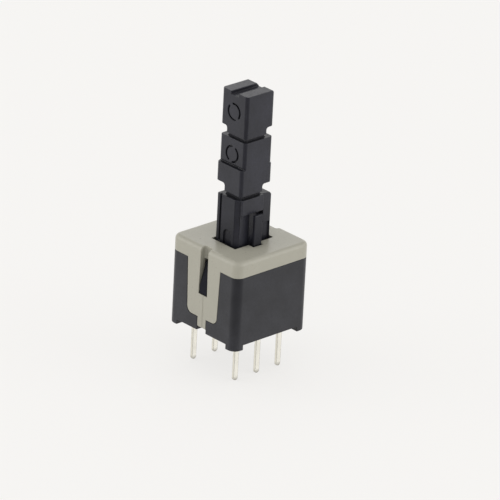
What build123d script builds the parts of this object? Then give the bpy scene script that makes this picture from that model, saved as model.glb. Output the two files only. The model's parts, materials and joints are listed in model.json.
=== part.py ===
"""Latching push switch for a circuit board: a square body on six flat pins, with a long snap-off stem.

X runs across the two rows of pins, Y along them, and Z up. The origin is the middle of the body's
footprint, at the height of the pin tips, so that the switch stands on its pins. Sizes are in mm.
"""

import math
import os

from build123d import *

# ---------------------------------------------------------------- driving dimensions
# body
body_w = 8.5  # square body, across X and across Y
body_corner_r = 0.78  # upright corners of housing and cover
housing_h = 6.4  # housing wall, from its bottom edge to the cover
cover_band_h = 1.45  # cover above the housing wall
foot_h = 0.45  # corner feet below the housing's bottom edge
foot_w = 1.1
foot_corner_r = 0.35
pin_reach = 3.6  # pins below the feet

# housing
side_wall = 0.9  # walls that carry the terminals
end_wall = 1.1  # walls behind the tongues
floor_t = 1.0
lip_t = 0.3  # locating lip inside the cover
lip_h = 0.45
spring_post_r = 0.6
spring_post_h = 0.7
under_recess_x = 3.2  # core-out under the floor
under_recess_y = 3.0
under_recess_t = 0.3

# cover
cover_top_t = 0.9
cover_edge_r = 0.42
tongue_t = 0.6
tongue_top_w = 4.2
tongue_bottom_w = 3.74
tongue_end_z = 1.3  # lower end of the tongue above the housing's bottom edge
tongue_corner_r = 0.6
tab_w = 1.06
tab_end_z = 0.4
tab_corner_r = 0.15
window_top_w = 0.96
window_bottom_w = 1.08
window_low_z = 3.47
window_high_z = 6.65
niche_w = 0.96  # channel above the window, open at the cover's top
niche_t = 0.58
niche_corner_r = 0.2
niche_rear_more = 0.5  # the rear channel is wider than the front one, on its -X side
latch_w = 0.86  # wedge on the front wall that snaps into the front tongue's window
latch_sink = 0.04  # its outer face below the tongue's
latch_flat_z = 4.25  # upper end of that face, where the slope starts
latch_high_z = 6.2
line_w = 0.18  # fine V groove in the tongue below the window
line_t = 0.05
line_x = 0.1
barb_w = 0.5
barb_x = 1.25
barb_t = 0.16
barb_h = 0.5
barb_z = 1.75

# plunger: stem sections, heights counted up from the cover's top
stem_w = 3.2
stem_edge_r = 0.3
stem_top_z = 13.85
neck_upper_z = 9.6  # ledge of the upper snap-off neck
neck_upper_h = 0.95
neck_upper_cut_x = 0.8
neck_upper_cut_y = 0.78
step_z = 7.1  # the stem grows thicker along Y below this height
step_front = 0.24
step_back = 0.1
step_score_h = 0.16  # fine groove above the step in the front face
step_score_t = 0.12
neck_lower_z = 4.32
neck_lower_h = 1.02
neck_lower_cut_x = 1.1
neck_lower_cut_y = 1.02
neck_inner_r = 0.25
score_h = 0.34  # fine groove that carries a neck round the two full faces
score_t = 0.28
top_slot_w = 0.9
top_slot_t = 0.3
top_chamfer = 0.25
mark_r = 0.8
mark_line = 0.16
mark_t = 0.2
mark_gap = 0.4  # where a ring runs out on two opposite sides
mark_upper_z = 12.05
mark_upper_turn = 125  # degrees from X to the line through its two gaps
mark_lower_z = 8.15
mark_lower_turn = 75
base_x0 = -1.17  # lowest stem section, its two X faces
base_x1 = 1.42
base_d = 4.0  # and its depth along Y
base_edge_r = 0.15
base_front_chamfer = 0.32
base_back_slope = 0.28  # bevel of the lower ledge's rear edge
pad_proud = 0.23
pad_low_z = 2.88
pad_y0 = -1.62
pad_y1 = 0.86
finger_w = 0.9  # thin finger that stands beside the stem and steadies it in the cover's notch
finger_y = -0.08
finger_gap = 0.48
finger_t = 0.25
finger_top_z = 2.82
finger_edge = 0.1
finger_recess_y0 = -0.48  # sunk part of the stem's face behind the finger, up to the pad
finger_recess_y1 = 1.05
finger_recess_t = 0.5
keyway_x = -0.67
keyway_w = 0.19
keyway_t = 0.14
arch_x = 0.3
arch_w = 0.95
arch_top_z = 1.3
arch_t = 0.14
corner_relief_y0 = 0.92
corner_relief_y1 = 1.86
corner_relief_z = 1.55
corner_relief_t = 0.16

# slider, the wide lower end of the plunger
head_w = 5.0
head_h = 3.25
head_edge_r = 0.3
cam_face_w = 2.7  # sunk middle of the two end faces
cam_face_t = 0.45
spring_bore_r = 1.2
spring_bore_t = 2.55
travel = 2.5
latched_travel = 1.9

# lock pin and its track
wire_d = 0.4
wire_bend_r = 0.35
pivot_z = 0.6  # pin's lower leg above the housing's bottom edge
pivot_inner_y = 1.9
tip_rise = 3.4  # upper leg above the lower leg
tip_swing = 0.9  # sideways way of the upper leg over the whole travel
track_t = 0.5
leaf_t = 0.1
leaf_w = 1.0
leaf_low_z = 1.0
leaf_high_z = 5.6
leaf_bow = 0.14

# return spring
spring_wire_d = 0.25
spring_r = 0.9  # to the middle of the wire
spring_turns = 8
spring_wire_sides = 8  # flats round the coil's wire

# terminals and moving contacts
pin_pitch = 2.5
row_spacing = 5.4
pin_w = 0.5
strip_t = 0.25
pad_w = 1.1
pad_proud_of_wall = 0.1
pad_top_z = 5.9
riser_w = 0.36
break_z = 4.4  # lower edge of the break pad
make_z = 3.8  # upper edge of the make pad
contact_t = 0.12
contact_w = 5.0
contact_root_z = 6.25
contact_foot_z = 4.5
contact_touch_z = 5.0
prong_w = 0.5
prong_pitch = 2.1
hairpin_gap = 0.3

# clearances
slide_gap_x = 0.2  # stem in the cover's hole
slide_gap_y = 0.2
notch_gap = 0.09  # finger in the cover's notch
head_gap = 0.1  # slider to the end walls
stop_gap = 0.05  # slider to the cover at rest
seat_gap = 0.03  # moulded parts that are pushed together
pivot_gap = 0.03
track_gap = 0.12
touch_gap = 0.05  # contact prong to pad, and leaf to lock pin
latch_gap = 0.06  # latch to the window's lower edge
eps = 0.5  # over-run of a cutting body

# ---------------------------------------------------------------- levels and faces worked out from them
half = body_w / 2
edge_z = pin_reach + foot_h  # housing's bottom edge
floor_z = edge_z + floor_t
wall_top_z = edge_z + housing_h
cover_z = wall_top_z + cover_band_h
ceiling_z = cover_z - cover_top_t
cavity_x = half - side_wall
cavity_y = half - end_wall
tongue_y = half - tongue_t  # inner face of a tongue
head_top_z = ceiling_z - stop_gap
head_z = head_top_z - head_h
head_y = cavity_y - head_gap
cam_y = head_y - cam_face_t
tip_z = edge_z + pivot_z + tip_rise
leg_y = cam_y + (tongue_y - leaf_t - leaf_bow - touch_gap - cam_y + wire_d / 2) / 2
pad_face_x = cavity_x - pad_proud_of_wall


def block(x0, x1, y0, y1, z0, z1):
    """Box between two corners."""
    return Pos((x0 + x1) / 2, (y0 + y1) / 2, (z0 + z1) / 2) * Box(x1 - x0, y1 - y0, z1 - z0)


def upright(shape):
    """The shape's edges that run along Z."""
    return shape.edges().filter_by(Axis.Z)


def plate_y(face_on_xz, y0, y1):
    """Solid between y0 and y1 from a face drawn in X and Z."""
    return Pos(0, y1, 0) * extrude(Plane.XZ * face_on_xz, y1 - y0)


def plate_x(face_on_yz, x0, x1):
    """Solid between x0 and x1 from a face drawn in Y and Z."""
    return Pos(x0, 0, 0) * extrude(Plane.YZ * face_on_yz, x1 - x0)


def outline(*points):
    """Face with straight sides."""
    return make_face(Polyline(*points, close=True))


def body_prism(z0, z1):
    """Rounded square column of the body."""
    column = block(-half, half, -half, half, z0, z1)
    return fillet(upright(column), body_corner_r)


def both_ends(shape):
    """The shape and its mirror image on the opposite end of the body."""
    return shape + mirror(shape, about=Plane.XZ)


def rear(shape):
    """A shape drawn for the front end, moved to the rear one."""
    return mirror(shape, about=Plane.XZ)


# ---------------------------------------------------------------- cover and housing
def tongue_face(grow):
    """Front outline of a tongue with its tab, larger all round by grow."""
    low = edge_z + tongue_end_z - grow
    high = wall_top_z + (grow if grow else lip_h)
    top = tongue_top_w / 2 + grow
    bottom = tongue_bottom_w / 2 + grow
    blade = outline((-top, high), (-bottom, low), (bottom, low), (top, high))
    blade = fillet(blade.vertices().sort_by(Axis.Y)[:2], tongue_corner_r)
    tab_low = edge_z + tab_end_z - grow
    tab = Pos(0, (tab_low + low + tongue_corner_r) / 2) * RectangleRounded(
        tab_w + 2 * grow, low + tongue_corner_r - tab_low, tab_corner_r
    )
    return blade + tab


def window_face():
    """Tapered window through a tongue."""
    low = edge_z + window_low_z
    high = edge_z + window_high_z
    return outline(
        (-window_bottom_w / 2, low),
        (window_bottom_w / 2, low),
        (window_top_w / 2, high),
        (-window_top_w / 2, high),
    )


def niche(wider=0.0):
    """Round-cornered channel in the -Y face that carries the window on up through the cover's top."""
    x = niche_w / 2
    channel = block(-x - wider, x, -half - eps, -half + niche_t, edge_z + window_high_z, cover_z + eps)
    return fillet(upright(channel).group_by(Axis.Y)[-1], niche_corner_r)


def tongue_line():
    """Fine V groove down a tongue, from its window to the end of its tab."""
    side = outline(
        (line_x - line_w, -half - line_t), (line_x + line_w, -half - line_t), (line_x, -half + line_t)
    )
    low = edge_z + tab_end_z - eps
    return Pos(0, 0, low) * extrude(side, edge_z + window_low_z + eps - low)


def latch():
    """Wedge on the front wall: full below, where it holds the window's edge, and sloping in above."""
    z0 = edge_z + window_low_z + latch_gap
    z1 = edge_z + latch_high_z
    root = -tongue_y + seat_gap
    face = -half + latch_sink
    side = outline((root, z0), (face, z0), (face, edge_z + latch_flat_z), (-tongue_y, z1), (root, z1))
    return plate_x(side, -latch_w / 2, latch_w / 2)


def barb():
    """Wedges on the rear tongue's inner face that snap into the wall beside the lock pin."""
    z0 = edge_z + barb_z
    z1 = z0 + barb_h
    wedge = outline((-tongue_y, z0), (-tongue_y + barb_t, z1), (-tongue_y, z1))
    one = plate_x(wedge, barb_x - barb_w / 2, barb_x + barb_w / 2)
    return one + mirror(one, about=Plane.YZ)


def barb_socket():
    """Sockets in the wall for a tongue's wedges."""
    x0 = barb_x - barb_w / 2 - seat_gap
    x1 = barb_x + barb_w / 2 + seat_gap
    z0 = edge_z + barb_z - seat_gap
    z1 = edge_z + barb_z + barb_h + seat_gap
    one = block(x0, x1, -tongue_y - eps, -tongue_y + barb_t + seat_gap, z0, z1)
    return one + mirror(one, about=Plane.YZ)


def stem_hole(z0, z1):
    """Hole for the stem, with the notch for its finger."""
    hy = base_d / 2 + slide_gap_y
    hole = block(base_x0 - slide_gap_x, base_x1 + slide_gap_x, -hy, hy, z0, z1)
    side = finger_w / 2 + notch_gap
    outer = base_x1 + finger_gap + finger_t + notch_gap
    return hole + block(base_x1, outer, finger_y - side, finger_y + side, z0, z1)


def make_cover():
    """Cap over the housing, one moulding with a tongue down each end."""
    cap = body_prism(wall_top_z, cover_z)
    cap = fillet(cap.faces().sort_by(Axis.Z)[-1].edges(), cover_edge_r)
    room_x = cavity_x + lip_t + seat_gap
    room_y = cavity_y + lip_t + seat_gap
    cap -= block(-room_x, room_x, -room_y, room_y, wall_top_z - eps, ceiling_z)
    cap += both_ends(plate_y(tongue_face(0), -half, -tongue_y)) + rear(barb())
    cap -= both_ends(plate_y(window_face(), -half - eps, -room_y + eps) + tongue_line())
    cap -= niche() + rear(niche(niche_rear_more))
    return cap - stem_hole(ceiling_z - eps, cover_z + eps)


def wall_opening():
    """Gap in an end wall for the swinging lock pin: narrow at its pivot and wide at its tip."""
    slot = wire_d / 2 + pivot_gap
    wide = tip_swing + wire_d / 2 + track_gap
    low = edge_z + pivot_z - slot
    kink = edge_z + pivot_z
    flare = tip_z - wire_d
    top = wall_top_z + lip_h + eps
    right = [(slot, low), (slot, kink), (wide, flare), (wide, top)]
    left = [(-x, z) for x, z in reversed(right)]
    shape = outline(*right, *left)
    return plate_y(shape, -half - eps, -cavity_y + eps)


def leaf_pocket():
    """Shallow seat for the leaf spring in the outside of an end wall."""
    side = leaf_w / 2 + seat_gap
    depth = leaf_t + leaf_bow + seat_gap
    low = edge_z + leaf_low_z - seat_gap
    return block(-side, side, -tongue_y - eps, -tongue_y + depth, low, wall_top_z + eps)


def housing_foot():
    """Corner foot at -X -Y."""
    foot = block(-half, -half + foot_w, -half, -half + foot_w, pin_reach, edge_z)
    edges = upright(foot).sort_by(lambda e: e.center().X + e.center().Y)
    return fillet(edges[-1], foot_corner_r)


def make_housing():
    """Open-topped box with feet, a floor with the pin slots, and end walls recessed for the tongues."""
    shell = body_prism(edge_z, wall_top_z)
    lip_x = cavity_x + lip_t
    lip_y = cavity_y + lip_t
    shell += block(-lip_x, lip_x, -lip_y, lip_y, wall_top_z - eps, wall_top_z + lip_h)
    shell -= block(-cavity_x, cavity_x, -cavity_y, cavity_y, floor_z, wall_top_z + lip_h + eps)
    foot = housing_foot() & body_prism(pin_reach, edge_z)
    feet = both_ends(foot)
    shell += feet + mirror(feet, about=Plane.YZ)
    shell += Pos(0, 0, floor_z) * Cylinder(
        spring_post_r, spring_post_h, align=(Align.CENTER, Align.CENTER, Align.MIN)
    )
    cuts = plate_y(tongue_face(seat_gap), -half - eps, -tongue_y)
    cuts += block(
        -tab_w / 2 - seat_gap, tab_w / 2 + seat_gap, -half - eps, -tongue_y, edge_z - eps, edge_z + tab_end_z
    )
    shell -= both_ends(cuts) + rear(wall_opening() + leaf_pocket() + barb_socket())
    shell += latch()
    shell -= Pos(0, half, edge_z + pivot_z) * Rot(X=90) * Cylinder(
        wire_d / 2 + pivot_gap, half - pivot_inner_y + seat_gap, align=(Align.CENTER, Align.CENTER, Align.MIN)
    )
    shell -= block(
        -under_recess_x / 2,
        under_recess_x / 2,
        -under_recess_y / 2,
        under_recess_y / 2,
        edge_z - eps,
        edge_z + under_recess_t,
    )
    for side in (-1, 1):
        for place in (-1, 0, 1):
            shell -= terminal(side, place, seat_gap)
    return shell


# ---------------------------------------------------------------- plunger
def ring_mark(z, turn):
    """Fine engraved ring on the stem's front face, broken on two opposite sides."""
    ring = Circle(mark_r) - Circle(mark_r - mark_line)
    ring -= Rot(Z=turn) * Rectangle(3 * mark_r, mark_gap)
    return plate_y(Pos(0, z) * ring, -stem_w / 2 - eps, -stem_w / 2 + mark_t)


def neck(width, front, back, z, height, cut_x, cut_y):
    """Cutting body of one snap-off neck: open notches in two faces and a fine score in the other two."""
    w = width / 2
    bar_x = block(-w - eps, -w + cut_x, front - eps, back + eps, z, z + height)
    bar_x = fillet(bar_x.edges().filter_by(Axis.Y).group_by(Axis.X)[-1], neck_inner_r)
    bar_y = block(-w - eps, w + eps, back - cut_y, back + eps, z, z + height)
    bar_y = fillet(bar_y.edges().filter_by(Axis.X).group_by(Axis.Y)[0], neck_inner_r)
    score_front = block(-w - eps, w + eps, front - eps, front + score_t, z, z + score_h)
    score_side = block(w - score_t, w + eps, front - eps, back + eps, z, z + score_h)
    return bar_x + bar_y + score_front + score_side


def rear_bevel(y, z, size):
    """Cutting body that bevels the top edge of a section's +Y face."""
    wedge = outline((y - size - eps, z + eps), (y + eps, z - size - eps), (y + eps, z + eps))
    return plate_x(wedge, -stem_w, stem_w)


def stem_upper():
    """Square snap-off sections above the lower neck."""
    w = stem_w / 2
    top = cover_z + stem_top_z
    step = cover_z + step_z
    ledge = cover_z + neck_lower_z
    shaft = fillet(upright(block(-w, w, -w, w, ledge, top)), stem_edge_r)
    thick = block(-w, w, -w - step_front, w + step_back, ledge, step)
    shaft += fillet(upright(thick), stem_edge_r)
    shaft -= block(-w - eps, w + eps, -w - eps, -w + step_score_t, step, step + step_score_h)
    shaft -= rear_bevel(w, top, top_chamfer)
    slot = top_slot_w / 2
    shaft -= block(-slot, slot, -w - eps, w + eps, top - top_slot_t, top + eps)
    shaft -= neck(stem_w, -w, w, cover_z + neck_upper_z, neck_upper_h, neck_upper_cut_x, neck_upper_cut_y)
    shaft -= neck(
        stem_w, -w - step_front, w + step_back, ledge, neck_lower_h, neck_lower_cut_x, neck_lower_cut_y
    )
    shaft -= ring_mark(cover_z + mark_upper_z, mark_upper_turn)
    return shaft - ring_mark(cover_z + mark_lower_z, mark_lower_turn)


def stem_base():
    """Section that runs in the cover's hole, with its pad and moulded recesses."""
    d = base_d / 2
    ledge = cover_z + neck_lower_z
    post = block(base_x0, base_x1, -d, d, head_top_z, ledge)
    corners = upright(post).sort_by(lambda e: e.center().X - e.center().Y)
    post = chamfer(corners[-1], base_front_chamfer)
    corners = upright(post).sort_by(lambda e: e.center().X - e.center().Y)
    post = fillet(corners[:3], base_edge_r)
    post -= rear_bevel(d, ledge, base_back_slope)
    post += block(base_x1 - eps, base_x1 + pad_proud, pad_y0, pad_y1, cover_z + pad_low_z, ledge)
    sunk_x = base_x1 - finger_recess_t
    sunk_z = cover_z + pad_low_z
    post -= block(sunk_x, base_x1 + eps, finger_recess_y0, finger_recess_y1, ceiling_z, sunk_z)
    post -= block(
        keyway_x - keyway_w / 2, keyway_x + keyway_w / 2, -d - eps, -d + keyway_t, cover_z, ledge + eps
    )
    arch_z = cover_z + arch_top_z - arch_w / 2
    arch = Pos(arch_x, (ceiling_z + arch_z) / 2) * Rectangle(arch_w, arch_z - ceiling_z)
    arch += Pos(arch_x, arch_z) * Circle(arch_w / 2)
    post -= plate_y(arch, -d - eps, -d + arch_t)
    relief_x = base_x1 - corner_relief_t
    relief_top = cover_z + corner_relief_z
    return post - block(relief_x, base_x1 + eps, corner_relief_y0, corner_relief_y1, ceiling_z, relief_top)


def stem_finger():
    """Thin finger that rises from the slider beside the stem, through the cover's notch."""
    inner = base_x1 + finger_gap
    outer = inner + finger_t
    side = finger_w / 2
    finger = block(inner, outer, finger_y - side, finger_y + side, head_top_z - eps, cover_z + finger_top_z)
    tip = finger.edges().filter_by(Axis.Y).sort_by(lambda e: e.center().X + e.center().Z)[-1]
    return fillet(tip, finger_edge)


def track_point(way):
    """Where the pin's tip stands on the slider when the plunger has gone down by way."""
    angle = swing_per_mm * way
    return (-tip_rise * math.sin(angle), tip_z - tip_rise * (1 - math.cos(angle)) + way)


def groove(points):
    """Round-ended groove in the slider's +Y face along straight runs between points in X and Z."""
    width = wire_d + 2 * track_gap
    runs = None
    for (x0, z0), (x1, z1) in zip(points, points[1:]):
        length = math.hypot(x1 - x0, z1 - z0)
        turn = math.degrees(math.atan2(z1 - z0, x1 - x0))
        run = Pos((x0 + x1) / 2, (z0 + z1) / 2) * Rot(Z=turn) * SlotCenterToCenter(length, width)
        runs = run if runs is None else runs + run
    return plate_y(runs, cam_y - track_t, cam_y + eps)


def heart_cam():
    """Track of the lock pin: up one side of the heart, over its notch, and down the other side."""
    start = track_point(0)
    lane_top = track_point(travel)
    notch = (0, start[1] + latched_travel)
    crest = (-lane_top[0], lane_top[1])
    shoulder = (-lane_top[0], start[1] + travel / 2)
    up_lane = [track_point(travel * k / 4) for k in range(5)]
    return groove(up_lane + [notch, crest, shoulder, start])


def slider_head():
    """Block that runs in the housing, with contact pockets, sunk cam faces and a spring bore."""
    w = head_w / 2
    head = fillet(upright(block(-w, w, -head_y, head_y, head_z, head_top_z)), head_edge_r)
    sunk = block(-cam_face_w / 2, cam_face_w / 2, -head_y - eps, -cam_y, head_z - eps, head_top_z + eps)
    head -= both_ends(sunk)
    head -= Pos(0, 0, head_z) * Cylinder(
        spring_bore_r, spring_bore_t, align=(Align.CENTER, Align.CENTER, Align.MIN)
    )
    pocket = block(
        w - hairpin_gap,
        w + eps,
        -contact_w / 2 - seat_gap,
        contact_w / 2 + seat_gap,
        edge_z + contact_foot_z - seat_gap,
        head_top_z + eps,
    )
    head -= pocket + mirror(pocket, about=Plane.YZ)
    return head - heart_cam()


def make_plunger():
    """Stem, finger and slider, one moulding."""
    return slider_head() + stem_base() + stem_finger() + stem_upper()


# ---------------------------------------------------------------- wire, leaf and spring
swing_per_mm = math.asin(tip_swing / tip_rise) / travel  # radians of the lock pin for each mm of the plunger


def wire(path, diameter):
    """Round wire along a path."""
    return sweep((path ^ 0) * Circle(diameter / 2), path=path)


def make_lock_pin():
    """Wire staple: the lower leg turns in the floor, the upper leg rides in the heart-shaped track."""
    low = edge_z + pivot_z
    tip_y = cam_y - track_t + touch_gap
    path = FilletPolyline(
        (0, pivot_inner_y, low), (0, leg_y, low), (0, leg_y, tip_z), (0, tip_y, tip_z), radius=wire_bend_r
    )
    return wire(path, wire_d)


def make_leaf():
    """Bowed leaf behind the rear tongue that holds the lock pin in its track."""
    low = edge_z + leaf_low_z
    high = edge_z + leaf_high_z
    middle = (low + high) / 2
    outer = tongue_y - seat_gap
    back = ThreePointArc((outer, low), (outer - leaf_bow, middle), (outer, high))
    front = ThreePointArc((outer - leaf_t, high), (outer - leaf_t - leaf_bow, middle), (outer - leaf_t, low))
    ends = [Line(back @ 1, front @ 0), Line(front @ 1, back @ 0)]
    return plate_x(make_face([back, ends[0], front, ends[1]]), -leaf_w / 2, leaf_w / 2)


def make_return_spring():
    """Compression spring between the floor and the slider's bore."""
    low = floor_z + spring_wire_d / 2
    high = head_z + spring_bore_t - spring_wire_d / 2
    coil = Helix(pitch=(high - low) / spring_turns, height=high - low, radius=spring_r)
    section = (coil ^ 0) * RegularPolygon(spring_wire_d / 2, spring_wire_sides)
    return Pos(0, 0, low) * sweep(section, path=coil, is_frenet=True)


# ---------------------------------------------------------------- terminals and contacts
def strip_outline(points, thickness):
    """Side view of a bent strip: both faces run beside the middle line, with mitred corners."""
    left, right = [], []
    for i, (x, z) in enumerate(points):
        before = points[max(i - 1, 0)]
        after = points[min(i + 1, len(points) - 1)]
        a = (Vector(x, z) - Vector(*before)).normalized() if i else None
        b = (Vector(*after) - Vector(x, z)).normalized() if i < len(points) - 1 else None
        a = a or b
        b = b or a
        normal = (Vector(-a.Y, a.X) + Vector(-b.Y, b.X)).normalized()
        reach = thickness / 2 / max(normal.dot(Vector(-a.Y, a.X)), 0.5)
        left.append((x + normal.X * reach, z + normal.Y * reach))
        right.append((x - normal.X * reach, z - normal.Y * reach))
    return outline(*left, *reversed(right))


def terminal_front(place, grow):
    """Front view of a terminal, in Y and Z: pin, riser and contact pad."""
    pin = pin_w / 2 + grow
    y = place * pin_pitch
    pad_z1 = edge_z + (make_z if place == 1 else pad_top_z) + grow
    shank = Pos(y, (floor_z + pin_w / 2) / 2) * Rectangle(2 * pin, floor_z - pin_w / 2)
    shank += Pos(y, pin_w / 2) * Circle(pin)
    wide = pad_w / 2 + grow
    if place == -1:
        riser = Pos(y - pad_w / 2 + riser_w / 2, (floor_z + pad_z1) / 2) * Rectangle(
            riser_w + 2 * grow, pad_z1 - floor_z
        )
        foot = Pos(y, floor_z + pin_w / 2) * Rectangle(2 * wide, pin_w)
        pad_z0 = edge_z + break_z - grow
        pad = Pos(y, (pad_z0 + pad_z1) / 2) * Rectangle(2 * wide, pad_z1 - pad_z0)
        return shank + riser + foot + pad
    return shank + Pos(y, (floor_z + pad_z1) / 2) * Rectangle(2 * wide, pad_z1 - floor_z)


def terminal(side, place, grow=0.0):
    """Stamped terminal: a pin under the floor, a jog above it, and a pad let into the side wall."""
    pin_x = row_spacing / 2
    pad_x = pad_face_x + strip_t / 2
    jog_z = floor_z + strip_t
    line = [(pin_x, -eps), (pin_x, jog_z), (pad_x, jog_z + pad_x - pin_x), (pad_x, edge_z + pad_top_z + 1)]
    bent = plate_y(strip_outline(line, strip_t + 2 * grow), -half, half)
    made = bent & plate_x(terminal_front(place, grow), 0, half)
    return made if side > 0 else mirror(made, about=Plane.YZ)


def make_contact(side):
    """Hairpin contact in the slider's pocket: one plate with three prongs that bear on the pads."""
    root_x = head_w / 2 - hairpin_gap + contact_t / 2 + touch_gap / 2
    touch_x = pad_face_x - touch_gap - contact_t / 2
    foot = edge_z + contact_foot_z
    root = edge_z + contact_root_z
    touch = edge_z + contact_touch_z
    plate = [(root_x, foot), (root_x, root)]
    spring = [
        (root_x, root - contact_t),
        (root_x, root),
        (root_x + hairpin_gap, root),
        (touch_x, touch + contact_t),
        (touch_x, touch - contact_t),
        (touch_x - hairpin_gap, touch - 3 * contact_t),
    ]
    made = plate_y(strip_outline(plate, contact_t), -contact_w / 2, contact_w / 2)
    for place in (-1, 0, 1):
        y = place * prong_pitch
        made += plate_y(strip_outline(spring, contact_t), y - prong_w / 2, y + prong_w / 2)
    return made if side > 0 else mirror(made, about=Plane.YZ)


# ---------------------------------------------------------------- files
terminal_names = {-1: "break", 0: "common", 1: "make"}
side_names = {-1: "left", 1: "right"}

parts = {
    "housing": make_housing(),
    "cover": make_cover(),
    "plunger": make_plunger(),
    "return_spring": make_return_spring(),
    "lock_pin": make_lock_pin(),
    "lock_pin_spring": make_leaf(),
}
for side, side_name in side_names.items():
    parts[f"moving_contact_{side_name}"] = make_contact(side)
    for place, place_name in terminal_names.items():
        parts[f"terminal_{place_name}_{side_name}"] = terminal(side, place)

os.makedirs("parts", exist_ok=True)
for name, shape in parts.items():
    export_step(shape, f"parts/{name}.step")
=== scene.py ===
import itertools
import json
import math

import bmesh
import bpy
from mathutils import Matrix, Vector


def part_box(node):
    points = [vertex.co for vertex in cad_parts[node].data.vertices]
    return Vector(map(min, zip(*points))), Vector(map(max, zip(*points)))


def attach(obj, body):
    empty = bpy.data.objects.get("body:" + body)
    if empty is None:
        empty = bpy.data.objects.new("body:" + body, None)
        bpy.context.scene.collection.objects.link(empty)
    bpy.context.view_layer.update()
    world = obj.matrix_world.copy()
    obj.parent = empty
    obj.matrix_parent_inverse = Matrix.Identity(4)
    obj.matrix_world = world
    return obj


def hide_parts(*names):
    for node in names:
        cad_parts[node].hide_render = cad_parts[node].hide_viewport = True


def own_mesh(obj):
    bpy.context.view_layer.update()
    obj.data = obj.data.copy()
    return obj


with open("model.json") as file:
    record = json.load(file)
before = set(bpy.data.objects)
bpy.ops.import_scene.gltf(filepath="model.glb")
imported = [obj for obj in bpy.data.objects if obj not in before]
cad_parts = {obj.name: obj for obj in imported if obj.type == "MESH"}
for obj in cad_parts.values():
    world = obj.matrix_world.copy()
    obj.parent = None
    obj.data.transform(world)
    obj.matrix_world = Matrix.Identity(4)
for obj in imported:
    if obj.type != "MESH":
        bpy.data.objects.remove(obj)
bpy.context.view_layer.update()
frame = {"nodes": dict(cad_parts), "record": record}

# ---------------------------------------------------------------- sizes, in metres
MM = 0.001

BODY_EDGE = 0.04 * MM  # rounding of the housing's and cover's edges
STEM_EDGE = 0.05 * MM
STRIP_EDGE = 0.045 * MM  # stamped terminals
THIN_EDGE = 0.02 * MM  # contacts, leaf and lock pin
SHARP_TURN = math.radians(38)  # edges that turn more than this are rounded
CUSP_TURN = math.radians(28)  # edges that meet at less than this are left sharp
SAME_POINT = 0.0005 * MM  # corners closer than this are merged
SAME_PLANE = 0.99999  # cosine above which two normals belong to one flat face
SAME_CURVE = 0.5  # cosine above which neighbouring faces belong to one smooth curve

# boxes around faces that get a darker copy of their plastic as painted shade, each from its lowest to its
# highest corner
LATCH = (Vector((-0.48, -4.24, 7.4)) * MM, Vector((0.48, -2.9, 10.8)) * MM)
GUIDED_FACE = (Vector((-1.2, -2.01, 10.9)) * MM, Vector((1.15, -1.8, 16.25)) * MM)
FINGER = (Vector((1.8, -0.6, 11.8)) * MM, Vector((2.2, 0.45, 14.8)) * MM)

SPRING_WIRE = 0.25 * MM
SPRING_TURNS = 8
SPRING_DEAD_TURNS = 1.2  # closed coils at each end
SPRING_STEPS = 32  # points along each turn
SPRING_SIDES = 14  # points round the wire

# finishes: how many features of each pattern come to a millimetre
FLOW_DRIFT = 0.45
SINK_WAVES = 1.0
MOULD_MOTTLE = 5.0
MOULD_GRAIN = 16.0
SCUFFS = 7.0
EDGE_WEAR = 1.6
TARNISH = 1.3
ROLLING_LINES = 16.0
OIL_FILM = 2.2
DIE_LINES = 24.0

# and how deep or wide they are
WAVE_DEPTH = 0.03 * MM
GRAIN_DEPTH = 0.006 * MM
ROLLING_DEPTH = 0.004 * MM
DIE_DEPTH = 0.003 * MM
WORN_EDGE = 0.09 * MM
# width of the edge colour in plated_strip: worn plating on the contacts, painted shade on the terminals
EDGE_WEAR_AND_SHADE_WIDTH = 0.11 * MM
PAINTED_SHADE_REACH = 0.8 * MM  # slots and seams this deep get painted shade in their plastic's colour
PAINTED_SHADE_TONE = 0.3  # how bright the painted shade leaves their plastic beside the rest
PAINTED_SHADE_RANGE = (0.3, 0.85)  # openness where the painted shade is darkest, and where it ends
CUT_TIP = (0.05, 0.4)  # heights in millimetres where the pins' cut tips are darkest, and where they end
EDGE_RANGE = (0.86, 0.995)  # cosines of a rounded normal on an edge, and just beside it
NOISE_RANGE = (0.3, 0.7)  # most values of a noise lie between these
NYLON_BLACK = (0.0205, 0.0210, 0.0265)

# camera: a long lens, turned a little about its own axis
VIEW_AZIMUTH = math.radians(46.52)
VIEW_ELEVATION = math.radians(23.99)
VIEW_ROLL = math.radians(2.937)
VIEW_DISTANCE = 451.39 * MM
VIEW_SENSOR = 36  # width in millimetres
VIEW_LENS = 374.4  # focal length in millimetres
VIEW_AIM = Vector((0, 0, 4.05 * MM))
VIEW_SIDE = 1.105 * MM  # how far the camera stands right of its aim, and above it
VIEW_RISE = 6.032 * MM

# studio
FLOOR_SIZE = 1.6
PAPER = (0.905, 0.895, 0.880)
PAPER_GLOW = 0.8  # share of the paper's look that is its own plain colour
FILL_COLOUR = (1.0, 0.99, 0.97)
FILL_STRENGTH = 0.9
LAMP_AIM = Vector((0, 0, 13 * MM))
FRONT = (math.sin(VIEW_AZIMUTH), -math.cos(VIEW_AZIMUTH), 0.0)  # level direction to the dark side of the room
DARK_FRONT = 0.3  # how bright the dark side of the room shows in glossy surfaces
DARK_ABOVE = 0.35  # and the ceiling
DARK_PAPER = (7 * MM, 20 * MM)  # where the paper starts to look dark there, and where it is darkest
DARK_ROOM = (0.45, 0.9)  # the same for directions, as a cosine with FRONT
DARK_CEILING = (0.45, 0.8)  # and as a cosine with the zenith


# ---------------------------------------------------------------- shader building
def add(tree, kind, inputs=None, **settings):
    """A shader node with its settings and its inputs, each a value or a socket to link."""
    made = tree.nodes.new(kind)
    for key, value in settings.items():
        setattr(made, key, value)
    for key, value in (inputs or {}).items():
        if isinstance(value, bpy.types.NodeSocket):
            tree.links.new(value, made.inputs[key])
        else:
            made.inputs[key].default_value = value
    return made


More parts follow.
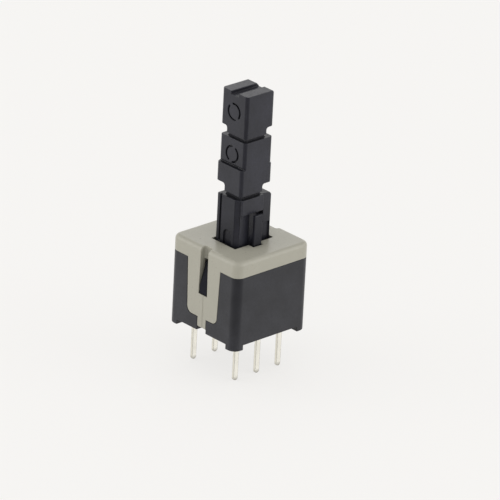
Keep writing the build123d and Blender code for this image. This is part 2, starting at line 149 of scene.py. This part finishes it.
def math_node(tree, operation, a, b=0.5):
    """Output of a Math node."""
    return add(tree, "ShaderNodeMath", {0: a, 1: b}, operation=operation).outputs[0]


def product(tree, a, b):
    """Output of a Math node that multiplies."""
    return math_node(tree, "MULTIPLY", a, b)


def span(tree, value, low, high, to_low, to_high):
    """Output of a clamped Map Range node."""
    inputs = {"Value": value, "From Min": low, "From Max": high, "To Min": to_low, "To Max": to_high}
    return add(tree, "ShaderNodeMapRange", inputs).outputs["Result"]


def blend_colour(tree, amount, first, second):
    """Output of a colour Mix node."""
    made = add(tree, "ShaderNodeMix", data_type="RGBA")
    for index, value in ((0, amount), (6, first), (7, second)):
        if isinstance(value, bpy.types.NodeSocket):
            tree.links.new(value, made.inputs[index])
        else:
            made.inputs[index].default_value = value
    return made.outputs[2]


def noise(tree, coords, scale, detail=2.0, roughness=0.5):
    """Noise with its scale in features per millimetre."""
    inputs = {"Vector": coords, "Scale": scale, "Detail": detail, "Roughness": roughness}
    return add(tree, "ShaderNodeTexNoise", inputs).outputs["Fac"]


def patches(tree, coords, scale, detail, between, roughness=0.5, most=1.0):
    """Noise whose values between two limits are spread from 0 to most."""
    return span(tree, noise(tree, coords, scale, detail, roughness), *between, 0.0, most)


def millimetres(tree, stretch=(1, 1, 1)):
    """Object coordinates in millimetres, stretched along an axis where a pattern runs along it."""
    place = add(tree, "ShaderNodeTexCoord").outputs["Object"]
    scale = [1 / (MM * s) for s in stretch]
    return add(tree, "ShaderNodeMapping", {"Vector": place, "Scale": scale}).outputs["Vector"]


def new_material(name):
    """Empty material with its tree and its Principled shader."""
    made = bpy.data.materials.new(name)
    made.use_nodes = True
    return made, made.node_tree, made.node_tree.nodes["Principled BSDF"]


def rgba(colour, gain=1.0):
    """Colour with an alpha of 1."""
    return (colour[0] * gain, colour[1] * gain, colour[2] * gain, 1.0)


def bump(tree, height, depth, strength, normal=None):
    """Normal output of a Bump node; depth is the height of the relief in metres."""
    inputs = {"Height": height, "Distance": depth, "Strength": strength}
    if normal is not None:
        inputs["Normal"] = normal
    return add(tree, "ShaderNodeBump", inputs).outputs["Normal"]


def rim(tree, radius):
    """1 on edges and 0 on faces, from the cosine between a rounded normal and the true one."""
    rounded = add(tree, "ShaderNodeBevel", {"Radius": radius}, samples=4).outputs["Normal"]
    flat = add(tree, "ShaderNodeNewGeometry").outputs["Normal"]
    same = add(tree, "ShaderNodeVectorMath", {0: rounded, 1: flat}, operation="DOT_PRODUCT")
    return span(tree, same.outputs["Value"], *EDGE_RANGE, 1.0, 0.0)


# ---------------------------------------------------------------- finishes
def moulded_plastic(name, colour, specular, rough, tone, grain, scuff_gain):
    """Moulded plastic with a drifting tone, scuffs, rubbed edges, painted shade in its hollows, waves and
    grain.
    """
    made, tree, shader = new_material(name)
    place = millimetres(tree)
    drift = patches(tree, place, FLOW_DRIFT, 3.0, NOISE_RANGE)
    mottle = patches(tree, place, MOULD_MOTTLE, 4.0, NOISE_RANGE, roughness=0.6)
    tinted = blend_colour(tree, drift, rgba(colour, 1 - tone), rgba(colour, 1 + tone))
    specks = span(tree, mottle, 0.0, 1.0, 0.0, 0.35)
    speckled = blend_colour(tree, specks, tinted, rgba(colour, 1 - 2 * tone))

    upright = millimetres(tree, stretch=(1, 1, 14))
    scuffs = patches(tree, upright, SCUFFS, 3.0, (0.62, 0.74), roughness=0.65, most=0.3)
    worn = product(tree, rim(tree, WORN_EDGE), patches(tree, place, EDGE_WEAR, 4.0, (0.42, 0.66), most=0.5))
    wear = math_node(tree, "MAXIMUM", scuffs, worn)
    rubbed = blend_colour(tree, wear, speckled, rgba(colour, scuff_gain))
    # painted shade: the colour darkens where ambient occlusion finds the plastic closed in
    openness = add(tree, "ShaderNodeAmbientOcclusion", {"Distance": PAINTED_SHADE_REACH}, samples=6).outputs["AO"]
    hollow_shade = span(tree, openness, *PAINTED_SHADE_RANGE, 1.0, 0.0)
    shaded = blend_colour(tree, hollow_shade, rubbed, rgba(colour, PAINTED_SHADE_TONE))
    tree.links.new(shaded, shader.inputs["Base Color"])

    matt = math_node(tree, "ADD", span(tree, mottle, 0.0, 1.0, rough - 0.06, rough + 0.07), wear)
    tree.links.new(span(tree, matt, 0.0, 1.0, 0.0, 0.92), shader.inputs["Roughness"])
    waves = bump(tree, noise(tree, place, SINK_WAVES), WAVE_DEPTH, 0.35)
    skin = bump(tree, noise(tree, place, MOULD_GRAIN, 3.0, 0.6), GRAIN_DEPTH, grain, waves)
    tree.links.new(skin, shader.inputs["Normal"])
    shader.inputs["Specular IOR Level"].default_value = specular
    return made


def plated_strip(name, colour, cut_colour, edge_wear_and_shade_colour, rough):
    """Plated strip: rolling lines, patches of tarnish, sheared sides, and edges and cut tips in a colour of
    their own: worn plating on the silvered contacts, painted shade on the tinned terminals.
    """
    made, tree, shader = new_material(name)
    place = millimetres(tree)
    lines = noise(tree, millimetres(tree, stretch=(1, 1, 22)), ROLLING_LINES, 3.0, 0.6)
    tarnish = patches(tree, place, TARNISH, 4.0, (0.45, 0.75), roughness=0.6, most=0.5)
    sides = add(tree, "ShaderNodeTexCoord").outputs["Normal"]
    across = math_node(tree, "ABSOLUTE", add(tree, "ShaderNodeSeparateXYZ", {0: sides}).outputs["Y"])
    sheared = span(tree, across, 0.6, 0.95, 0.0, 0.55)
    faces = blend_colour(tree, tarnish, rgba(colour), rgba(colour, 0.8))
    sides_too = blend_colour(tree, sheared, faces, rgba(cut_colour))
    height = add(tree, "ShaderNodeSeparateXYZ", {0: place}).outputs["Z"]
    tip = span(tree, height, *CUT_TIP, 0.6, 0.0)
    # edges, and the tips towards the bottom, take their own colour: bare bronze under worn plating on the
    # silvered contacts, painted shade on the tinned terminals
    edge_wear_and_shade = math_node(tree, "MAXIMUM", rim(tree, EDGE_WEAR_AND_SHADE_WIDTH), tip)
    tree.links.new(blend_colour(tree, edge_wear_and_shade, sides_too, rgba(edge_wear_and_shade_colour)), shader.inputs["Base Color"])
    shader.inputs["Metallic"].default_value = 1.0
    brushed = span(tree, lines, *NOISE_RANGE, rough - 0.06, rough + 0.08)
    matt = math_node(tree, "ADD", brushed, product(tree, sheared, 0.2))
    tree.links.new(matt, shader.inputs["Roughness"])
    tree.links.new(bump(tree, lines, ROLLING_DEPTH, 0.5), shader.inputs["Normal"])
    return made


def drawn_wire(name, colour, rough):
    """Drawn spring steel with fine die lines and a thin oil film."""
    made, tree, shader = new_material(name)
    place = millimetres(tree)
    film = patches(tree, place, OIL_FILM, 3.0, (0.35, 0.7))
    tree.links.new(blend_colour(tree, film, rgba(colour), rgba(colour, 0.78)), shader.inputs["Base Color"])
    shader.inputs["Metallic"].default_value = 1.0
    tree.links.new(span(tree, film, 0.0, 1.0, rough, rough + 0.14), shader.inputs["Roughness"])
    tree.links.new(bump(tree, noise(tree, place, DIE_LINES), DIE_DEPTH, 0.5), shader.inputs["Normal"])
    return made


# ---------------------------------------------------------------- pieces
def body_of_node(name):
    """The body that carries a CAD node."""
    return next(body for body, nodes in frame["record"]["behaviour"]["bodies"].items() if name in nodes)


def finish(piece, name, material):
    """Gives a piece its finish and its body, and hides the CAD node that it stands for."""
    piece.data.materials.clear()
    piece.data.materials.append(material)
    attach(piece, body_of_node(name))
    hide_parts(name)
    return piece


def flat_faces(mesh):
    """For each face, the normal of the plane that it lies on, or zero where it is part of a curve."""
    corners = [corner.vector.copy() for corner in mesh.corner_normals]
    planes = []
    for face in mesh.polygons:
        first, *others = [corners[i] for i in face.loop_indices]
        planes.append(first if all(first.dot(other) > SAME_PLANE for other in others) else Vector())
    return planes


def facing(face, plane):
    """A face's normal, which for a sliver of a plane is that of the plane."""
    return face[plane] if face[plane].length else face.normal


def sharp_edges(solid, plane):
    """Edges where a solid turns by more than SHARP_TURN, apart from those at fine points."""
    sharp = set()
    for edge in solid.edges:
        if len(edge.link_faces) == 2:
            one, other = (facing(face, plane) for face in edge.link_faces)
            if one.angle(other, 0) > SHARP_TURN:
                sharp.add(edge)
    return list(sharp - cusp_edges(solid, sharp))


def true_normals(solid, plane):
    """Corner normals that keep flat faces flat and let the curved ones between them turn smoothly."""
    normals = []
    for face in solid.faces:
        for corner in face.loops:
            if face[plane].length:
                normals.append(face[plane].copy())
                continue
            beside = [f for f in corner.vert.link_faces if facing(f, plane).dot(face.normal) > SAME_CURVE]
            flats = [f[plane] for f in beside if f[plane].length]
            if flats:
                normals.append(max(flats, key=lambda n: round(n.dot(face.normal), 3)).copy())
            else:
                total = sum((f.normal * f.calc_area() for f in beside), Vector())
                normals.append(total.normalized() if total.length else face.normal.copy())
    return normals


def cusp_edges(solid, sharp):
    """Sharp edges that run into each other at a fine point, where a rounding would have no room."""
    found = set()
    for vert in solid.verts:
        meeting = [e for e in vert.link_edges if e in sharp]
        for one, other in itertools.combinations(meeting, 2):
            turn = (one.other_vert(vert).co - vert.co).angle(other.other_vert(vert).co - vert.co, math.pi)
            if turn < CUSP_TURN:
                found |= {one, other}
    return found


def rounded_copy(name, edge, material):
    """The node's solid with its sharp edges slightly rounded, as a mould or a die leaves them."""
    mesh = frame["nodes"][name].data.copy()
    planes = flat_faces(mesh)
    solid = bmesh.new()
    solid.from_mesh(mesh)
    plane = solid.faces.layers.float_vector.new("plane")
    for face, normal in zip(solid.faces, planes):
        face[plane] = normal
    bmesh.ops.remove_doubles(solid, verts=solid.verts, dist=SAME_POINT)
    rounded = bmesh.ops.bevel(
        solid,
        geom=sharp_edges(solid, plane),
        offset=edge,
        offset_type="OFFSET",
        segments=2,
        profile=0.5,
        affect="EDGES",
        clamp_overlap=False,
        loop_slide=False,
        miter_outer="SHARP",
    )
    for face in rounded["faces"]:
        face[plane] = Vector()
    solid.normal_update()
    normals = true_normals(solid, plane)
    solid.to_mesh(mesh)
    solid.free()
    mesh.shade_smooth()
    mesh.normals_split_custom_set(normals)
    piece = bpy.data.objects.new(name + "_finished", mesh)
    bpy.context.scene.collection.objects.link(piece)
    return finish(piece, name, material)


def retouch(piece, material, *boxes):
    """A second material on the faces of a piece whose middles lie in one of the boxes; each one here is a
    darker copy painted as shade.
    """
    piece.data.materials.append(material)
    for face in piece.data.polygons:
        if any(all(a < c < b for a, c, b in zip(low, face.center, high)) for low, high in boxes):
            face.material_index = 1


def coil_tree(material):
    """Geometry Nodes for a compression spring with closed ends."""
    tree = bpy.data.node_groups.new("compression_coil", "GeometryNodeTree")
    for label, kind in (
        ("Height", "NodeSocketFloat"),
        ("Radius", "NodeSocketFloat"),
        ("Wire", "NodeSocketFloat"),
        ("Turns", "NodeSocketFloat"),
        ("Dead Turns", "NodeSocketFloat"),
        ("Foot", "NodeSocketVector"),
    ):
        tree.interface.new_socket(label, in_out="INPUT", socket_type=kind)
    tree.interface.new_socket("Geometry", in_out="OUTPUT", socket_type="NodeSocketGeometry")
    size = tree.nodes.new("NodeGroupInput").outputs
    line = add(tree, "GeometryNodeCurvePrimitiveLine", {"End": (0, 0, 1)})
    count = SPRING_TURNS * SPRING_STEPS
    route = add(tree, "GeometryNodeResampleCurve", {"Curve": line.outputs["Curve"], "Count": count})
    along = add(tree, "GeometryNodeSplineParameter").outputs["Factor"]
    angle = product(tree, product(tree, along, size["Turns"]), math.tau)
    closed_share = math_node(tree, "DIVIDE", size["Dead Turns"], size["Turns"])
    open_until = math_node(tree, "SUBTRACT", 1.0, closed_share)
    rise = add(
        tree,
        "ShaderNodeMapRange",
        {"Value": along, "From Min": closed_share, "From Max": open_until},
        interpolation_type="SMOOTHSTEP",
    ).outputs["Result"]
    solid_height = product(tree, size["Wire"], size["Turns"])
    open_height = math_node(tree, "SUBTRACT", size["Height"], solid_height)
    closed = product(tree, along, math_node(tree, "SUBTRACT", solid_height, size["Wire"]))
    level = math_node(tree, "ADD", closed, product(tree, rise, open_height))
    half_wire = product(tree, size["Wire"], 0.5)
    place = add(
        tree,
        "ShaderNodeCombineXYZ",
        {
            "X": product(tree, size["Radius"], math_node(tree, "COSINE", angle)),
            "Y": product(tree, size["Radius"], math_node(tree, "SINE", angle)),
            "Z": math_node(tree, "ADD", level, half_wire),
        },
    ).outputs[0]
    placed = add(tree, "ShaderNodeVectorMath", {0: place, 1: size["Foot"]}, operation="ADD").outputs["Vector"]
    coil = add(tree, "GeometryNodeSetPosition", {"Geometry": route.outputs["Curve"], "Position": placed})
    section = add(tree, "GeometryNodeCurvePrimitiveCircle", {"Resolution": SPRING_SIDES, "Radius": half_wire})
    tube = add(
        tree,
        "GeometryNodeCurveToMesh",
        {"Curve": coil.outputs["Geometry"], "Profile Curve": section.outputs["Curve"], "Fill Caps": True},
    )
    smooth = add(tree, "GeometryNodeSetShadeSmooth", {"Geometry": tube.outputs["Mesh"]})
    whole = add(tree, "GeometryNodeRealizeInstances", {"Geometry": smooth.outputs["Geometry"]})
    steel = {"Geometry": whole.outputs["Geometry"], "Material": material}
    dressed = add(tree, "GeometryNodeSetMaterial", steel)
    add(tree, "NodeGroupOutput", {"Geometry": dressed.outputs["Geometry"]})
    return tree


def return_spring(material):
    """Round-wire coil between the floor and the slider."""
    low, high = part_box("return_spring")
    height = high[2] - low[2]
    sizes = {
        "Height": height,
        "Radius": (high[0] - low[0] - SPRING_WIRE) / 2,
        "Wire": SPRING_WIRE,
        "Turns": float(SPRING_TURNS),
        "Dead Turns": SPRING_DEAD_TURNS,
        "Foot": (0.0, 0.0, low[2]),
    }
    carrier = bpy.data.objects.new("coil_carrier", bpy.data.meshes.new("coil_carrier"))
    bpy.context.scene.collection.objects.link(carrier)
    grower = carrier.modifiers.new("coil", "NODES")
    grower.node_group = coil_tree(material)
    for item in grower.node_group.interface.items_tree:
        if item.name in sizes:
            grower[item.identifier] = sizes[item.name]
    grown = carrier.evaluated_get(bpy.context.evaluated_depsgraph_get())
    coil = bpy.data.objects.new("return_spring_coil", bpy.data.meshes.new_from_object(grown))
    bpy.data.objects.remove(carrier)
    bpy.context.scene.collection.objects.link(coil)
    finish(coil, "return_spring", material)
    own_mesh(coil)


# ---------------------------------------------------------------- studio
def camera():
    """Long-lens camera, set a little above the switch and facing one of its upright edges."""
    turn, lift = VIEW_AZIMUTH, VIEW_ELEVATION
    ahead = Vector((-math.sin(turn) * math.cos(lift), math.cos(turn) * math.cos(lift), -math.sin(lift)))
    level = Vector((math.cos(turn), math.sin(turn), 0))
    right = (Matrix.Rotation(-VIEW_ROLL, 3, ahead) @ level).normalized()
    up = right.cross(ahead)
    data = bpy.data.cameras.new("camera")
    data.lens = VIEW_LENS
    data.sensor_width = VIEW_SENSOR
    data.clip_start = 0.01
    data.clip_end = 10
    made = bpy.data.objects.new("camera", data)
    place = VIEW_AIM - ahead * VIEW_DISTANCE + right * VIEW_SIDE + up * VIEW_RISE
    turned = Matrix((right, up, -ahead)).transposed().to_4x4()
    made.matrix_world = Matrix.Translation(place) @ turned
    bpy.context.scene.collection.objects.link(made)
    bpy.context.scene.camera = made


def softbox(name, direction, distance, size, power):
    """Square area lamp that faces the switch from a direction."""
    lamp = bpy.data.lights.new(name, "AREA")
    lamp.size = size
    lamp.energy = power
    made = bpy.data.objects.new(name, lamp)
    away = Vector(direction).normalized()
    made.location = LAMP_AIM + away * distance
    made.rotation_euler = away.to_track_quat("Z", "Y").to_euler()
    bpy.context.scene.collection.objects.link(made)


def darker_forward(tree, place, near, far):
    """Brightness that falls from 1 to DARK_FRONT as a place or a direction goes from near to far."""
    forward = add(tree, "ShaderNodeVectorMath", {0: place, 1: FRONT}, operation="DOT_PRODUCT")
    return span(tree, forward.outputs["Value"], near, far, 1.0, DARK_FRONT)


def darker_above(tree, direction):
    """Brightness that falls from 1 to DARK_ABOVE towards the zenith."""
    height = add(tree, "ShaderNodeSeparateXYZ", {0: direction}).outputs["Z"]
    return span(tree, height, *DARK_CEILING, 1.0, DARK_ABOVE)


def for_rays(tree, ray, special, others):
    """One shader for the rays of a kind and another for the rest."""
    return add(tree, "ShaderNodeMixShader", {0: ray, 1: others, 2: special}).outputs[0]


def paper_floor():
    """Pale paper that keeps a soft shadow of the switch."""
    half = FLOOR_SIZE / 2
    mesh = bpy.data.meshes.new("paper")
    corners = [(-half, -half, 0), (half, -half, 0), (half, half, 0), (-half, half, 0)]
    mesh.from_pydata(corners, [], [(0, 1, 2, 3)])
    floor = bpy.data.objects.new("paper", mesh)
    bpy.context.scene.collection.objects.link(floor)
    made, tree, shader = new_material("pale_paper")
    shader.inputs["Base Color"].default_value = rgba(PAPER)
    shader.inputs["Roughness"].default_value = 0.9
    shader.inputs["Specular IOR Level"].default_value = 0.0
    rays = add(tree, "ShaderNodeLightPath").outputs
    place = add(tree, "ShaderNodeTexCoord").outputs["Object"]
    paper = shader.outputs["BSDF"]
    plain = add(tree, "ShaderNodeEmission", {"Color": rgba(PAPER)}).outputs[0]
    seen = add(tree, "ShaderNodeMixShader", {0: PAPER_GLOW, 1: paper, 2: plain}).outputs[0]
    glow = darker_forward(tree, place, *DARK_PAPER)
    mirrored = add(tree, "ShaderNodeEmission", {"Color": rgba(PAPER), "Strength": glow}).outputs[0]
    direct = for_rays(tree, rays["Is Camera Ray"], seen, paper)
    surface = for_rays(tree, rays["Is Glossy Ray"], mirrored, direct)
    tree.links.new(surface, tree.nodes["Material Output"].inputs["Surface"])
    mesh.materials.append(made)


def studio_world():
    """Pale surround for the camera and for glossy surfaces, and a gentle fill for the rest."""
    world = bpy.data.worlds.new("studio")
    bpy.context.scene.world = world
    world.use_nodes = True
    tree = world.node_tree
    rays = add(tree, "ShaderNodeLightPath").outputs
    direction = add(tree, "ShaderNodeTexCoord").outputs["Generated"]
    fill = tree.nodes["Background"]
    fill.inputs["Color"].default_value = rgba(FILL_COLOUR)
    fill.inputs["Strength"].default_value = FILL_STRENGTH
    pale = add(tree, "ShaderNodeBackground", {"Color": rgba(PAPER)}).outputs[0]
    glow = product(tree, darker_forward(tree, direction, *DARK_ROOM), darker_above(tree, direction))
    mirrored = add(tree, "ShaderNodeBackground", {"Color": rgba(PAPER), "Strength": glow}).outputs[0]
    lit = for_rays(tree, rays["Is Glossy Ray"], mirrored, fill.outputs[0])
    surface = for_rays(tree, rays["Is Camera Ray"], pale, lit)
    tree.links.new(surface, tree.nodes["World Output"].inputs["Surface"])


# ---------------------------------------------------------------- making
camera()
studio_world()
paper_floor()
softbox("left_box", direction=(-0.62, -0.79, 0.35), distance=0.32, size=0.28, power=0.3)
softbox("right_box", direction=(0.81, 0.58, 0.35), distance=0.32, size=0.28, power=0.3)
softbox("top_box", direction=(0.0, -0.2, 1.0), distance=0.34, size=0.26, power=0.03)
softbox("back_box", direction=(-0.66, 0.63, 0.46), distance=0.32, size=0.2, power=0.06)

black_nylon = moulded_plastic(
    "black_nylon", NYLON_BLACK, specular=0.43, rough=0.42, tone=0.25, grain=0.5, scuff_gain=2.2
)
# darker matt copy of black_nylon, painted shade on the latch wedge seen in the tongue's window
shaded_nylon = moulded_plastic(
    "shaded_latch_nylon", NYLON_BLACK, specular=0.0, rough=0.6, tone=0.12, grain=0.8, scuff_gain=1.6
)
black_acetal = moulded_plastic(
    "black_acetal", (0.0195, 0.0200, 0.0295), specular=0.43, rough=0.40, tone=0.3, grain=0.45, scuff_gain=2.4
)
# darker copy of black_acetal, painted shade on the stem's front face above the cover and on the finger
shaded_acetal = moulded_plastic(
    "shaded_acetal", (0.0130, 0.0135, 0.0205), specular=0.34, rough=0.38, tone=0.3, grain=0.35, scuff_gain=2.4
)
grey_acetal = moulded_plastic(
    "grey_acetal", (0.352, 0.342, 0.288), specular=0.45, rough=0.34, tone=0.025, grain=0.4, scuff_gain=1.12
)
tinned_brass = plated_strip(
    "tinned_brass",
    colour=(0.935, 0.912, 0.83),
    cut_colour=(0.76, 0.73, 0.62),
    # near-black edge colour: painted shade along the terminals' edges and towards the bottom of their tips
    edge_wear_and_shade_colour=(0.10, 0.095, 0.08),
    rough=0.26,
)
silvered_bronze = plated_strip(
    "silvered_bronze",
    colour=(0.80, 0.78, 0.73),
    cut_colour=(0.62, 0.45, 0.30),
    edge_wear_and_shade_colour=(0.6, 0.5, 0.4),
    rough=0.28,
)
steel_strip = drawn_wire("steel_strip", colour=(0.62, 0.62, 0.63), rough=0.28)
spring_steel = drawn_wire("spring_steel", colour=(0.60, 0.60, 0.62), rough=0.3)

housing = rounded_copy("housing", BODY_EDGE, black_nylon)
retouch(housing, shaded_nylon, LATCH)
rounded_copy("cover", BODY_EDGE, grey_acetal)
plunger = rounded_copy("plunger", STEM_EDGE, black_acetal)
retouch(plunger, shaded_acetal, GUIDED_FACE, FINGER)
for name in sorted(frame["nodes"]):
    if name.startswith("terminal_"):
        rounded_copy(name, STRIP_EDGE, tinned_brass)
    elif name.startswith("moving_contact_"):
        rounded_copy(name, THIN_EDGE, silvered_bronze)
rounded_copy("lock_pin_spring", THIN_EDGE, steel_strip)
rounded_copy("lock_pin", THIN_EDGE, spring_steel)
return_spring(spring_steel)

bpy.context.scene.view_settings.view_transform = "Standard"
